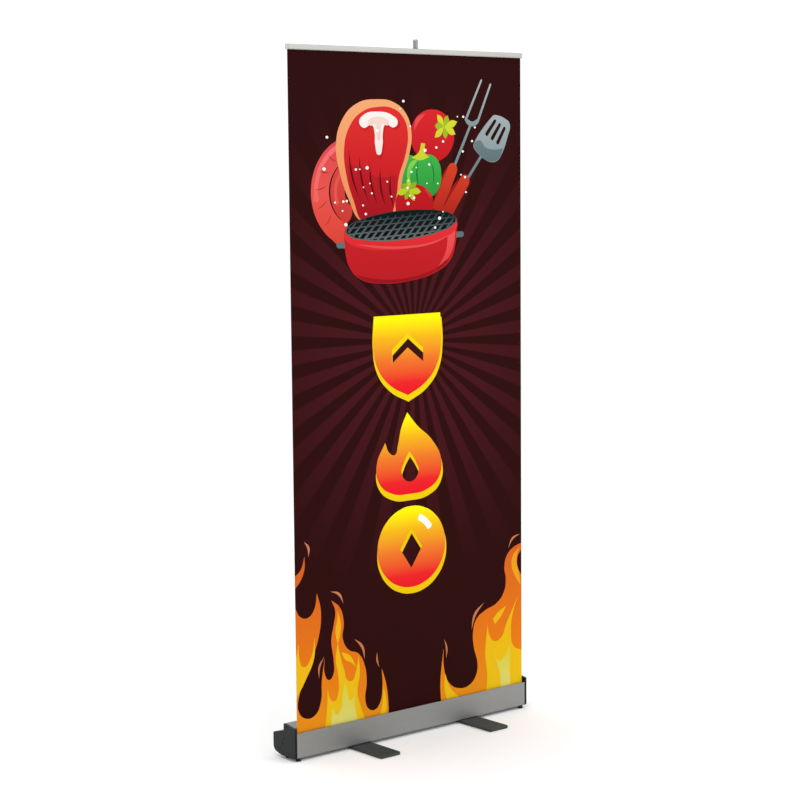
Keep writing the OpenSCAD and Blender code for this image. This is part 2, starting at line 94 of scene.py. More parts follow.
# %% Camera
camera_place = Vector((-4.02127, -4.77438, 1.73861))
camera_yaw = math.radians(40.04)
camera_pitch = math.radians(6.40)
camera_roll = math.radians(-0.50)

lens = bpy.data.cameras.new("studio_camera")
lens.sensor_width = 36
lens.lens = 92.17
camera = bpy.data.objects.new("studio_camera", lens)
scene.collection.objects.link(camera)
turn = Matrix.Rotation(-camera_yaw, 4, "Z") @ Matrix.Rotation(math.pi / 2 - camera_pitch, 4, "X")
camera.matrix_world = Matrix.Translation(camera_place) @ turn @ Matrix.Rotation(camera_roll, 4, "Z")
scene.camera = camera
print("camera is", round(camera_place.length, 2), "m from the foot of the stand")

# %% [markdown]
# ## Floor and light
# A product table is a pale sheet under a white tent. The tent is the world: white from everywhere, so
# every colour shows as it was printed. Two large soft lamps add a gentle difference between the faces.

# %% Floor and light
floor_reach = 30.0
floor_drop = 0.0003
sheet_mesh = bpy.data.meshes.new("studio_floor")
shape = bmesh.new()
bmesh.ops.create_grid(shape, x_segments=8, y_segments=8, size=floor_reach)
bmesh.ops.translate(shape, verts=shape.verts, vec=(0, 0, -floor_drop))
shape.to_mesh(sheet_mesh)
shape.free()
studio_floor = bpy.data.objects.new("studio_floor", sheet_mesh)
scene.collection.objects.link(studio_floor)

tent = bpy.data.worlds.new("white_tent")
tent.use_nodes = True
tent.node_tree.nodes["Background"].inputs["Color"].default_value = (1, 1, 1, 1)
tent.node_tree.nodes["Background"].inputs["Strength"].default_value = 1.05
scene.world = tent
scene.view_settings.view_transform = "Standard"


def soft_lamp(name, place, aim, side, power):
    """A square soft lamp at a place, turned to face the point that it is aimed at."""
    data = bpy.data.lights.new(name, "AREA")
    data.shape = "SQUARE"
    data.size = side
    data.energy = power
    lamp = bpy.data.objects.new(name, data)
    lamp.location = place
    lamp.rotation_euler = (Vector(aim) - Vector(place)).to_track_quat("-Z", "Y").to_euler()
    scene.collection.objects.link(lamp)
    return lamp


lamps = [
    soft_lamp("key_lamp", (2.6, -4.2, 3.6), (0, 0, 0.8), 2.4, 46),
    soft_lamp("top_lamp", (-1.0, -0.6, 4.6), (0, 0, 0.4), 2.0, 26),
]
print("soft lamps:", [lamp.name for lamp in lamps])

# %% [markdown]
# ## How a finish is put together
# A finish is a small node tree: where on the piece a point lies, a pattern there, and what that pattern
# does to colour, roughness and height. Reading Object coordinates keeps a pattern fixed in the metal or
# plastic. A stretched noise makes brushing and extrusion lines, an even one makes moulded texture.

# %% A helper that builds a finish
def new_tree(name):
    """An empty material with a principled shader, its node tree and its shader."""
    material = bpy.data.materials.new(name)
    material.use_nodes = True
    tree = material.node_tree
    return material, tree, tree.nodes["Principled BSDF"]


def join_nodes(tree, start, start_socket, end, end_socket):
    tree.links.new(start.outputs[start_socket], end.inputs[end_socket])


def patterned(tree, place, place_socket, stretch, size, detail=4.0, strain=0.0):
    """A noise read through a mapping that stretches it, and the node that holds it."""
    mapping = tree.nodes.new("ShaderNodeMapping")
    mapping.inputs["Scale"].default_value = stretch
    noise = tree.nodes.new("ShaderNodeTexNoise")
    noise.inputs["Scale"].default_value = size
    noise.inputs["Detail"].default_value = detail
    noise.inputs["Distortion"].default_value = strain
    join_nodes(tree, place, place_socket, mapping, "Vector")
    join_nodes(tree, mapping, "Vector", noise, "Vector")
    return noise


def spread_over(tree, source, socket, low, high):
    """The middle range of a pattern spread over low to high."""
    node = tree.nodes.new("ShaderNodeMapRange")
    node.inputs["From Min"].default_value = 0.35
    node.inputs["From Max"].default_value = 0.65
    node.inputs["To Min"].default_value = low
    node.inputs["To Max"].default_value = high
    join_nodes(tree, source, socket, node, "Value")
    return node


def mixed_patterns(tree, first, second, share=0.5):
    """Two patterns averaged, with the second one's share."""
    node = tree.nodes.new("ShaderNodeMix")
    node.data_type = "FLOAT"
    node.inputs["Factor"].default_value = share
    join_nodes(tree, first, "Fac", node, "A")
    join_nodes(tree, second, "Fac", node, "B")
    return node


def colour_steps(tree, source, socket, steps):
    """A colour ramp from (position, colour) steps."""
    node = tree.nodes.new("ShaderNodeValToRGB")
    while len(node.color_ramp.elements) < len(steps):
        node.color_ramp.elements.new(0.5)
    for element, (position, colour) in zip(node.color_ramp.elements, steps):
        element.position = position
        element.color = colour
    join_nodes(tree, source, socket, node, "Fac")
    return node


def relief_from(tree, source, socket, height, reach, shader):
    """Fine relief: the pattern is the height, and reach is how deep it is in metres."""
    node = tree.nodes.new("ShaderNodeBump")
    node.inputs["Strength"].default_value = height
    node.inputs["Distance"].default_value = reach
    join_nodes(tree, source, socket, node, "Height")
    join_nodes(tree, node, "Normal", shader, "Normal")
    return node


def finish(name, dark, light, rough, grain=(1, 1, 1), grain_size=400.0, height=0.3, reach=0.0002,
           cloud_size=9.0, share=0.5, **shader_values):
    """A finish with a cloudy colour, a grain that changes roughness, and the same grain as relief."""
    material, tree, shader = new_tree(name)
    place = tree.nodes.new("ShaderNodeTexCoord")
    clouds = patterned(tree, place, "Object", (1, 1, 1), cloud_size)
    lines = patterned(tree, place, "Object", grain, grain_size, detail=6.0)
    both = mixed_patterns(tree, clouds, lines, share)
    colours = colour_steps(tree, both, "Result", [(0.38, dark), (0.62, light)])
    join_nodes(tree, colours, "Color", shader, "Base Color")
    join_nodes(tree, spread_over(tree, both, "Result", *rough), "Result", shader, "Roughness")
    relief_from(tree, lines, "Fac", height, reach, shader)
    for socket, value in shader_values.items():
        shader.inputs[socket.replace("_", " ")].default_value = value
    return material


print("finish helpers are ready")

# %% [markdown]
# ## Metal finishes
# The base, the pole and the top rail are extruded aluminium. Anodising leaves it satin, with fine lines
# along the length it was pushed out of the die. The base and rail run left to right, so their grain is
# stretched that way, and the pole's is stretched upright. Pins and brackets are zinc plated steel.

# %% Metal finishes
ALONG_X = (0.02, 1, 1)
ALONG_Z = (1, 1, 0.02)
metals = {
    "anodised_aluminium": finish("base_satin_aluminium", tone(138, 138, 136), tone(152, 153, 152),
                                 (0.46, 0.56), ALONG_X, 900.0, 0.15, 0.00004, 2.5, 0.35,
                                 Metallic=0.75, Specular_IOR_Level=0.35, Anisotropic=0.4),
    "pole_aluminium": finish("pole_satin_aluminium", tone(132, 134, 135), tone(160, 162, 162),
                             (0.30, 0.42), ALONG_Z, 900.0, 0.25, 0.00005, 3.0, 0.6,
                             Metallic=0.85, Specular_IOR_Level=0.4, Anisotropic=0.4),
    "rail_aluminium": finish("rail_pale_aluminium", tone(170, 168, 164), tone(184, 182, 178),
                             (0.36, 0.48), ALONG_X, 900.0, 0.2, 0.00005, 3.0, 0.6,
                             Metallic=0.7, Specular_IOR_Level=0.4, Anisotropic=0.3),
    "zinc_steel": finish("zinc_plate", tone(150, 153, 156), tone(186, 188, 190),
                         (0.24, 0.38), (1, 1, 1), 260.0, 0.2, 0.00008, 40.0, 0.5, Metallic=1.0),
    "spring_steel": finish("oiled_spring_wire", tone(58, 54, 50), tone(96, 92, 88),
                           (0.28, 0.46), (0.3, 1, 1), 500.0, 0.2, 0.00005, 60.0, 0.5, Metallic=1.0),
    "tip_metal": finish("turned_tip_metal", tone(120, 122, 124), tone(158, 160, 162),
                        (0.22, 0.36), (1, 1, 30), 120.0, 0.2, 0.00005, 30.0, 0.6, Metallic=1.0),
    "black_steel": finish("black_oxide_screws", tone(14, 14, 15), tone(34, 34, 35),
                          (0.36, 0.55), (1, 1, 1), 700.0, 0.2, 0.00005, 90.0, 0.5, Metallic=0.9),
    "foot_steel": finish("powder_coated_foot", tone(32, 38, 37), tone(48, 56, 54),
                         (0.44, 0.62), (1, 1, 1), 750.0, 0.45, 0.00012, 14.0, 0.5,
                         Specular_IOR_Level=0.45),
}
print("metal finishes:", sorted(metals))

# %% [markdown]
# ## Plastic, rubber, felt and bare film
# The end caps and the clip are moulded with a fine matt texture that hides finger marks. Rubber is
# darker and duller, with pale dust in it. Felt is a soft scatter of fibres with a sheen, and the bare
# film below the picture is white polyester.

# %% Plastic and soft finishes
plastics = {
    "cap_plastic": finish("moulded_cap_plastic", tone(20, 23, 23), tone(33, 36, 36),
                          (0.52, 0.70), (1, 1, 1), 1100.0, 0.5, 0.00015, 18.0, 0.5,
                          Specular_IOR_Level=0.28),
    "rail_plastic": finish("moulded_rail_end", tone(176, 175, 172), tone(196, 195, 192),
                           (0.45, 0.6), (1, 1, 1), 1000.0, 0.4, 0.0001, 25.0, 0.5),
    "white_plastic": finish("white_nylon", tone(214, 214, 210), tone(230, 230, 226),
                            (0.38, 0.55), (1, 1, 1), 700.0, 0.3, 0.0001, 25.0, 0.5,
                            Subsurface_Weight=0.08, Subsurface_Scale=0.003),
    "rubber": finish("dusty_rubber", tone(16, 16, 16), tone(38, 37, 36),
                     (0.72, 0.92), (1, 1, 1), 500.0, 0.5, 0.0002, 60.0, 0.5,
                     Specular_IOR_Level=0.25),
    "felt": finish("pressed_felt", tone(26, 27, 29), tone(58, 60, 63),
                   (0.9, 1.0), (0.4, 1, 1), 1600.0, 0.9, 0.0006, 80.0, 0.7,
                   Sheen_Weight=0.5, Sheen_Roughness=0.5, Specular_IOR_Level=0.1),
    "blank_film": finish("bare_white_film", tone(216, 215, 210), tone(228, 227, 222),
                         (0.34, 0.5), (1, 1, 1), 1300.0, 0.15, 0.00004, 5.0, 0.4),
    "elastic_cord": finish("braided_elastic", tone(18, 18, 19), tone(72, 72, 74),
                           (0.7, 0.9), (1, 1, 0.5), 1500.0, 0.9, 0.0004, 200.0, 0.7,
                           Sheen_Weight=0.3, Sheen_Roughness=0.4),
}
floor_finish = finish("studio_floor_paint", tone(250, 250, 250), tone(252, 252, 252),
                      (0.85, 0.95), (1, 1, 1), 60.0, 0.05, 0.0002, 0.6, 0.3, Specular_IOR_Level=0.0)
sheet_mesh.materials.append(floor_finish)
# A blacker copy of the cap plastic: painted shade for the front edge of the end caps.
cap_front_shade_finish = finish("painted_shade_cap_front", tone(5, 6, 6), tone(13, 14, 14), (0.5, 0.66), (1, 1, 1),
    1100.0, 0.4, 0.0001, 18.0, 0.5, Specular_IOR_Level=0.2)
print("plastic and soft finishes:", sorted(plastics))

# %% [markdown]
# ## Dressing the measured pieces
# Every piece of the measured model names the finish that it is made in. The aluminium tubes of the pole
# differ only in the way that their grain runs.

# %% Dress the measured pieces
finish_of = {**metals, **plastics, "printed_film": plastics["blank_film"]}
upright_tubes = {"pole_lower", "pole_middle", "pole_upper"}
slot_of = {part["node"]: part["material_slot"] for part in frame["record"]["subparts"]}
dress = {}
for node_name, node in frame["nodes"].items():
    wanted = "pole_aluminium" if node_name in upright_tubes else slot_of[node_name]
    dress[node_name] = finish_of[wanted]
    node.data.materials.clear()
    node.data.materials.append(dress[node_name])
print("dressed", len(dress), "pieces in", len(set(dress.values())), "finishes")

# %% [markdown]
# ## Easing the edges
# No real part has a perfectly sharp edge: a die, a mould or a press rounds it, and that round is what
# catches the light. The measured model is a net of loose triangles, so a copy is welded, its flat faces
# are made whole, and only the sharp edges are rolled over. The measured piece itself is left alone.

# %% A helper that eases a piece's edges
def lay_down(name, mesh, body, material):
    """Puts a finished mesh in the scene as a piece that rides on a body."""
    for each in material if isinstance(material, list) else [material]:
        mesh.materials.append(each)
    piece = bpy.data.objects.new(name, mesh)
    scene.collection.objects.link(piece)
    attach(piece, body)
    return piece


WELD = 0.002 * MM
FLAT_WITHIN = math.radians(0.6)
SHADED_SHARP = math.radians(35)
body_of_node = {n: b for b, members in frame["record"]["behaviour"]["bodies"].items() for n in members}


def eased(node_name, width, segments=2, sharper_than=32.0):
    """A copy of a measured piece with its sharp edges rolled over by a width in millimetres."""
    mesh = frame["nodes"][node_name].data.copy()
    mesh.name = node_name + "_eased"
    mesh.materials.clear()
    work = bmesh.new()
    work.from_mesh(mesh)
    bmesh.ops.remove_doubles(work, verts=work.verts, dist=WELD)
    bmesh.ops.dissolve_limit(work, angle_limit=FLAT_WITHIN, verts=work.verts, edges=work.edges)
    limit = math.radians(sharper_than)
    sharp = [e for e in work.edges if len(e.link_faces) == 2 and e.calc_face_angle(0) > limit]
    bmesh.ops.bevel(work, geom=sharp, offset=width * MM, offset_type="OFFSET", segments=segments,
                    profile=0.5, affect="EDGES", clamp_overlap=True, material=-1)
    work.normal_update()
    for face in work.faces:
        face.smooth = True
    work.to_mesh(mesh)
    work.free()
    mesh.set_sharp_from_angle(angle=SHADED_SHARP)
    piece = lay_down(node_name + "_eased", mesh, body_of_node[node_name],
                     dress[node_name])
    even = piece.modifiers.new("even_shading", "WEIGHTED_NORMAL")
    even.keep_sharp = True
    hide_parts(node_name)
    return piece


eased_widths = {
    "base_housing": 0.35,
    "end_cap_left": 0.7,
    "end_cap_right": 0.7,
    "top_rail": 0.5,
    "rail_cap_left": 0.8,
    "rail_cap_right": 0.8,
    "pole_clip": 0.5,
    "pole_socket": 0.4,
    "foot_left": 0.7,
    "foot_right": 0.7,
    "base_pads": 0.5,
    "foot_pads_left": 0.4,
    "foot_pads_right": 0.4,
    "cap_screws": 0.25,
    "pole_tip": 0.5,
}
eased_pieces = {}
for node_name, width in eased_widths.items():
    eased_pieces[node_name] = eased(node_name, width)
    print(node_name, "eased by", width, "mm:", len(eased_pieces[node_name].data.polygons), "faces")

# %% [markdown]
# ## Painted shade on the end caps' front edge
# The front edge of each end cap stands past the aluminium, and painted shade makes it blacker than the
# cap's flat outer face: the eased cap's faces that look forward, and lie at its front, take a darker
# finish.

# %% Painted shade on the caps' front edge
for cap_name in ("end_cap_left", "end_cap_right"):
    cap = eased_pieces[cap_name]
    # The forward faces at the cap's front take the blacker finish, which is painted shade.
    cap.data.materials.append(cap_front_shade_finish)
    front_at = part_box(cap_name)[0].y
    painted_shade_faces = [f for f in cap.data.polygons if f.center.y < front_at + 1.5 * MM]
    for face in painted_shade_faces:
        face.material_index = 1
    print(cap_name, "black edge faces:", len(painted_shade_faces))

# %% [markdown]
# ## The printed film
# The picture is printed on a thin polyester film held flat between the roller and the top rail. It is
# one sheet, made as a grid, and its own map holds each point's place in metres across and up, so the
# print stays on the film when the film runs down into the base.

# %% The film sheet
film_width = film_high.x - film_low.x
film_height = film_high.z - film_low.z
film_thickness = film_high.y - film_low.y


def map_print(mesh):
    """Writes each corner's place across and up, in metres, as the piece's own map."""
    layer = mesh.uv_layers.new(name="Print")
    for loop in mesh.loops:
        spot = mesh.vertices[loop.vertex_index].co
        layer.data[loop.index].uv = (spot.x, spot.z)


def rolls_in(piece):
    """Gives the piece a mesh of its own; nothing here moves it with the film."""
    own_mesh(piece)


shape = bmesh.new()
bmesh.ops.create_grid(shape, x_segments=16, y_segments=36, size=0.5)
bmesh.ops.scale(shape, verts=shape.verts, vec=(film_width, film_height, 1))
bmesh.ops.rotate(shape, verts=shape.verts, cent=(0, 0, 0), matrix=Matrix.Rotation(math.pi / 2, 3, "X"))
middle = (film_low + film_high) / 2
bmesh.ops.translate(shape, verts=shape.verts, vec=(middle.x, film_front, middle.z))
front_faces = list(shape.faces)
bmesh.ops.solidify(shape, geom=front_faces, thickness=film_thickness)
bmesh.ops.recalc_face_normals(shape, faces=shape.faces)
for face in shape.faces:
    face.material_index = 0 if face.normal.y < -0.5 else 1
film_mesh = bpy.data.meshes.new("printed_film")
shape.to_mesh(film_mesh)
shape.free()
map_print(film_mesh)
film_faces_at = sorted({round(v.co.y / MM, 2) for v in film_mesh.vertices})
print("film faces are at", film_faces_at, "mm, and the measured front is", round(film_front / MM, 2))
print("film:", round(film_width, 4), "by", round(film_height, 4), "m,", len(film_mesh.polygons), "faces")

# %% [markdown]
# ## The print's ground
# The ground is a deep maroon with pale rays that spread from a point above the middle and fade out.
# The angle about that point, folded into a wave, gives the rays, and the distance from it fades them.

# %% The rays
ray_centre = (11 * MM, 1222 * MM)
ray_count = 34
maroon = tone(44, 14, 15)
maroon_edge = tone(43, 14, 14)
ray_colour = tone(66, 22, 26)


def map_place(tree):
    """The piece's own map, split into across and up."""
    place = tree.nodes.new("ShaderNodeUVMap")
    place.uv_map = "Print"
    parts = tree.nodes.new("ShaderNodeSeparateXYZ")
    join_nodes(tree, place, "UV", parts, "Vector")
    return place, parts


def sum_node(tree, work, first, second=None, value=0.0):
    """One step of arithmetic on one or two (node, socket) values."""
    node = tree.nodes.new("ShaderNodeMath")
    node.operation = work
    tree.links.new(first[0].outputs[first[1]], node.inputs[0])
    if second is None:
        node.inputs[1].default_value = value
    else:
        tree.links.new(second[0].outputs[second[1]], node.inputs[1])
    return node


def between(tree, source, low, high, start=0.0, end=1.0):
    """A smooth step of a (node, socket) value from low to high."""
    node = tree.nodes.new("ShaderNodeMapRange")
    node.interpolation_type = "SMOOTHSTEP"
    node.inputs["From Min"].default_value = low
    node.inputs["From Max"].default_value = high
    node.inputs["To Min"].default_value = start
    node.inputs["To Max"].default_value = end
    tree.links.new(source[0].outputs[source[1]], node.inputs["Value"])
    return node


def blend_colours(tree, share, first, second):
    """Two colours mixed by a (node, socket) share. A colour is a node's output or four numbers."""
    node = tree.nodes.new("ShaderNodeMix")
    node.data_type = "RGBA"
    tree.links.new(share[0].outputs[share[1]], node.inputs[0])
    for socket, colour in ((6, first), (7, second)):
        if isinstance(colour, tuple) and len(colour) == 4:
            node.inputs[socket].default_value = colour
        else:
            tree.links.new(colour[0].outputs[colour[1]], node.inputs[socket])
    return node


def film_surface(tree, shader, place):
    """The matt, faintly woven face that every print on the film shares."""
    weave = tree.nodes.new("ShaderNodeTexNoise")
    weave.inputs["Scale"].default_value = 1400.0
    weave.inputs["Detail"].default_value = 3.0
    join_nodes(tree, place, "UV", weave, "Vector")
    join_nodes(tree, spread_over(tree, weave, "Fac", 0.62, 0.80), "Result", shader, "Roughness")
    relief_from(tree, weave, "Fac", 0.12, 0.00004, shader)
    shader.inputs["Specular IOR Level"].default_value = 0.012
    return weave


ground, tree, shader = new_tree("print_ground")
place, parts = map_place(tree)
across = sum_node(tree, "SUBTRACT", (parts, "X"), value=ray_centre[0])
up = sum_node(tree, "SUBTRACT", (parts, "Y"), value=ray_centre[1])
angle = sum_node(tree, "ARCTAN2", (up, 0), (across, 0))
wave = sum_node(tree, "SINE", (sum_node(tree, "MULTIPLY", (angle, 0), value=float(ray_count)), 0))
across_2 = sum_node(tree, "MULTIPLY", (across, 0), (across, 0))
up_2 = sum_node(tree, "MULTIPLY", (up, 0), (up, 0))
far = sum_node(tree, "SQRT", (sum_node(tree, "ADD", (across_2, 0), (up_2, 0)), 0))
edge_soft = between(tree, (wave, 0), -0.25, 0.25)
fade = between(tree, (far, 0), 0.15, 0.85, 1.0, 0.0)
rays = sum_node(tree, "MULTIPLY", (edge_soft, "Result"), (fade, "Result"))
dim = between(tree, (far, 0), 0.35, 1.0)
base_tone = blend_colours(tree, (dim, "Result"), maroon, maroon_edge)
lit_tone = blend_colours(tree, (rays, 0), (base_tone, 2), ray_colour)
join_nodes(tree, lit_tone, 2, shader, "Base Color")
film_surface(tree, shader, place)

backing, tree, shader = new_tree("film_back")
place, parts = map_place(tree)
weave = film_surface(tree, shader, place)
pale = colour_steps(tree, weave, "Fac", [(0.3, tone(206, 205, 200)), (0.7, tone(216, 215, 211))])
join_nodes(tree, pale, "Color", shader, "Base Color")
film = lay_down("printed_film", film_mesh, "base", [ground, backing])
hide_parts("graphic")
rolls_in(film)
print("rays across the ground:", ray_count)

# %% [markdown]
# ## Cutting shapes for the picture
# The picture is built the way a sign maker cuts vinyl: flat shapes laid one over another. A closed
# Bezier line through a few given points gives each outline. Plain points make a smooth bend, and
# a point with a third value makes a sharp one. The line is filled, made a mesh, stood up against the
# film and laid a tenth of a millimetre in front of the shape below it.

# %% Helpers for outlines and layers
LAYER_STEP = 0.10 * MM
SHAPE_THICKNESS = 0.07 * MM
SHARP = 1
BEND_STEPS = 7


def start_drawing(name):
    """An empty drawing that shapes are laid on."""
    drawing = {"name": name, "work": bmesh.new(), "inks": []}
    return drawing


def lay_shape(drawing, ink, layer, *outlines):
    """Fills outlines, in millimetres across and up. An outline inside another is a hole."""
    line = bpy.data.curves.new("outline", "CURVE")
    line.dimensions = "2D"
    line.fill_mode = "BOTH"
    line.resolution_u = BEND_STEPS
    line.extrude = SHAPE_THICKNESS / 2
    for outline in outlines:
        spline = line.splines.new("BEZIER")
        spline.bezier_points.add(len(outline) - 1)
        spline.use_cyclic_u = True
        for point, spot in zip(spline.bezier_points, outline):
            point.co = (spot[0] * MM, spot[1] * MM, 0)
            bend = "VECTOR" if len(spot) > 2 else "AUTO"
            point.handle_left_type = bend
            point.handle_right_type = bend
    holder = bpy.data.objects.new("outline", line)
    scene.collection.objects.link(holder)
    graph = bpy.context.evaluated_depsgraph_get()
    mesh = bpy.data.meshes.new_from_object(holder.evaluated_get(graph))
    bpy.data.objects.remove(holder)
    bpy.data.curves.remove(line)
    to_its_layer = Matrix.Translation((0, film_front - LAYER_STEP * layer, 0))
    mesh.transform(to_its_layer @ Matrix.Rotation(math.pi / 2, 4, "X"))
    if ink not in drawing["inks"]:
        drawing["inks"].append(ink)
    number = drawing["inks"].index(ink)
    mesh.polygons.foreach_set("material_index", [number] * len(mesh.polygons))
    drawing["work"].from_mesh(mesh)
    bpy.data.meshes.remove(mesh)


def finish_drawing(drawing):
    """Closes a drawing: welds it, gives it the film's map, lets it ride on the base and gives it its own
    mesh.
    """
    work = drawing["work"]
    bmesh.ops.remove_doubles(work, verts=work.verts, dist=0.000001)
    bmesh.ops.recalc_face_normals(work, faces=work.faces)
    mesh = bpy.data.meshes.new(drawing["name"])
    work.to_mesh(mesh)
    work.free()
    map_print(mesh)
    piece = lay_down(drawing["name"], mesh, "base", drawing["inks"])
    rolls_in(piece)
    drawing["piece"] = piece
    print(drawing["name"], "has", len(mesh.polygons), "faces in", len(drawing["inks"]), "inks")
    return piece


def oval(x, z, half_x, half_z, turn=0.0, points=12):
    """An oval outline, turned anticlockwise by some degrees."""
    lean = math.radians(turn)
    outline = []
    for step in range(points):
        a = 2 * math.pi * step / points
        u, v = half_x * math.cos(a), half_z * math.sin(a)
        across = u * math.cos(lean) - v * math.sin(lean)
        outline.append((x + across, z + u * math.sin(lean) + v * math.cos(lean)))
    return outline


def rod(x0, z0, x1, z1, width_0, width_1=None, round_ends=True):
    """A straight bar from one point to another, with its width at each end, and round or square ends."""
    width_1 = width_0 if width_1 is None else width_1
    facing = math.atan2(z1 - z0, x1 - x0)
    steps = 7 if round_ends else 2
    outline = []
    for x, z, width, turn in ((x1, z1, width_1, facing), (x0, z0, width_0, facing + math.pi)):
        for step in range(steps):
            a = turn - math.pi / 2 + math.pi * step / (steps - 1)
            outline.append((x + width / 2 * math.cos(a), z + width / 2 * math.sin(a), SHARP))
    return outline


def moved(outline, dx=0.0, dz=0.0, scale=1.0, about=(0.0, 0.0)):
    """The outline scaled about a point and shifted."""
    return [(about[0] + (p[0] - about[0]) * scale + dx, about[1] + (p[1] - about[1]) * scale + dz, *p[2:])
            for p in outline]


def arc_stroke(x, z, radius, start, end, width, steps=9):
    """A curved stroke with round ends, between two angles in degrees about a point."""
    sides = []
    for r, way in ((radius + width / 2, 1), (radius - width / 2, -1)):
        arc = [math.radians(start + (end - start) * step / (steps - 1)) for step in range(steps)]
        sides += [(x + r * math.cos(a), z + r * math.sin(a)) for a in arc[::way]]
    return sides


def wisp(x0, z0, x1, z1, bulge, thick):
    """A thin curved sliver with two sharp ends, such as flies off a flame."""
    start, end = Vector((x0, z0)), Vector((x1, z1))
    side = Vector((-(end - start).y, (end - start).x)).normalized()
    middle = (start + end) / 2
    near, out = middle + side * (bulge - thick / 2), middle + side * (bulge + thick / 2)
    return [(x0, z0, SHARP), (out.x, out.y), (x1, z1, SHARP), (near.x, near.y)]


print("outline helpers are ready")

# %% [markdown]
# ## Inks
# An ink is printed colour with the film's own weave in it. Many of the shapes are shaded from one
# height to another, so an ink is a ramp read from the height on the film. A fine grain in the colour is
# the dot pattern of a large printer.

# %% A helper that mixes an ink
DOT_GRAIN = 0.05


def ink(name, steps, low, high, strength=0.80):
    """An ink that runs through colour steps from a low to a high height in millimetres."""
    material, tree, shader = new_tree("ink_" + name)
    place, parts = map_place(tree)
    share = tree.nodes.new("ShaderNodeMapRange")
    share.inputs["From Min"].default_value = low * MM
    share.inputs["From Max"].default_value = high * MM
    join_nodes(tree, parts, "Y", share, "Value")
    colours = colour_steps(tree, share, "Result", steps)
    weave = film_surface(tree, shader, place)
    dots = spread_over(tree, weave, "Fac", strength * (1.0 - DOT_GRAIN), strength)
    grained = tree.nodes.new("ShaderNodeVectorMath")
    grained.operation = "SCALE"
    join_nodes(tree, colours, "Color", grained, 0)
    join_nodes(tree, dots, "Result", grained, "Scale")
    join_nodes(tree, grained, 0, shader, "Base Color")
    return material


bowl_red = ink("bowl_red", [(0.0, tone(190, 32, 38)), (1.0, tone(206, 36, 42))], 1390, 1560)
bowl_rim = ink("bowl_rim", [(0.0, tone(226, 44, 50)), (1.0, tone(238, 58, 62))], 1500, 1620)
bowl_shine = ink("bowl_shine", [(0.0, tone(214, 60, 60)), (1.0, tone(244, 90, 88))], 1400, 1560)
bowl_shade = ink("bowl_shade", [(0.0, tone(150, 22, 30)), (1.0, tone(176, 28, 36))], 1390, 1480)
grate_dark = ink("grate_dark", [(0.0, tone(10, 16, 18)), (1.0, tone(18, 30, 32))], 1520, 1620)
grate_bar = ink("grate_bar", [(0.0, tone(104, 112, 112)), (1.0, tone(40, 56, 58))], 1530, 1612)
fat_tan = ink("fat_tan", [(0.0, tone(244, 150, 96)), (1.0, tone(252, 176, 120))], 1640, 1950)
meat_red = ink("meat_red", [(0.0, tone(184, 28, 36)), (0.5, tone(212, 38, 42)), (1.0, tone(230, 52, 50))],
    1600, 1930)
meat_dark = ink("meat_dark", [(0.0, tone(170, 24, 34)), (1.0, tone(208, 36, 42))], 1600, 1850)
meat_mark = ink("meat_mark", [(0.0, tone(110, 14, 22)), (1.0, tone(96, 12, 20))], 1600, 1800)
bone_white = ink("bone_white", [(0.0, tone(250, 236, 228)), (1.0, tone(255, 250, 246))], 1790, 1920)
bone_pink = ink("bone_pink", [(0.0, tone(248, 208, 196)), (1.0, tone(250, 222, 210))], 1820, 1890)
sausage_skin = ink("sausage_skin", [(0.0, tone(226, 70, 56)), (0.5, tone(238, 88, 80)),
    (1.0, tone(226, 78, 80))], 1530, 1810)
sausage_under = ink("sausage_under", [(0.0, tone(206, 60, 50)), (1.0, tone(218, 74, 70))], 1560, 1760)
sausage_shine = ink("sausage_shine", [(0.0, tone(240, 96, 84)), (1.0, tone(250, 116, 118))], 1560, 1790)
sausage_line = ink("sausage_line", [(0.0, tone(196, 52, 50)), (1.0, tone(190, 48, 52))], 1550, 1800)
tomato_red = ink("tomato_red", [(0.0, tone(186, 24, 34)), (0.6, tone(206, 32, 40)),
    (1.0, tone(224, 44, 50))], 1570, 1940)
tomato_shine = ink("tomato_shine", [(0.0, tone(214, 52, 54)), (1.0, tone(240, 84, 84))], 1600, 1930)
leaf_lime = ink("leaf_lime", [(0.0, tone(186, 206, 40)), (1.0, tone(220, 226, 60))], 1620, 1930)
leaf_shade = ink("leaf_shade", [(0.0, tone(140, 178, 40)), (1.0, tone(166, 196, 44))], 1620, 1930)
pepper_green = ink("pepper_green", [(0.0, tone(44, 150, 62)), (1.0, tone(66, 184, 76))], 1640, 1790)
pepper_line = ink("pepper_line", [(0.0, tone(26, 104, 48)), (1.0, tone(36, 128, 56))], 1640, 1790)
pepper_shine = ink("pepper_shine", [(0.0, tone(96, 196, 74)), (1.0, tone(140, 216, 84))], 1640, 1790)
tool_grey = ink("tool_grey", [(0.0, tone(112, 132, 134)), (0.6, tone(140, 156, 158)),
    (1.0, tone(176, 184, 186))], 1700, 2010)
tool_light = ink("tool_light", [(0.0, tone(138, 156, 158)), (1.0, tone(166, 178, 180))], 1760, 1900)
tool_dark = ink("tool_dark", [(0.0, tone(98, 118, 121)), (1.0, tone(116, 134, 137))], 1760, 1850)
grip_red = ink("grip_red", [(0.0, tone(176, 40, 32)), (0.5, tone(204, 56, 38)), (1.0, tone(220, 70, 44))],
    1600, 1770)
grip_shade = ink("grip_shade", [(0.0, tone(140, 24, 26)), (1.0, tone(176, 38, 32))], 1600, 1770)
dot_white = ink("dot_white", [(0.0, tone(250, 244, 240)), (1.0, tone(252, 248, 245))], 1400, 2020,
    strength=0.92)
flame_orange = ink("flame_orange", [(0.0, tone(246, 152, 28)), (0.3, tone(242, 130, 26)),
    (1.0, tone(224, 100, 38))], 90, 600)
flame_gold = ink("flame_gold", [(0.0, tone(248, 202, 28)), (0.5, tone(249, 192, 26)),
    (1.0, tone(248, 152, 34))], 90, 560)
flame_pale = ink("flame_pale", [(0.0, tone(236, 226, 120)), (0.5, tone(232, 220, 84)),
    (1.0, tone(236, 204, 40))], 90, 240)
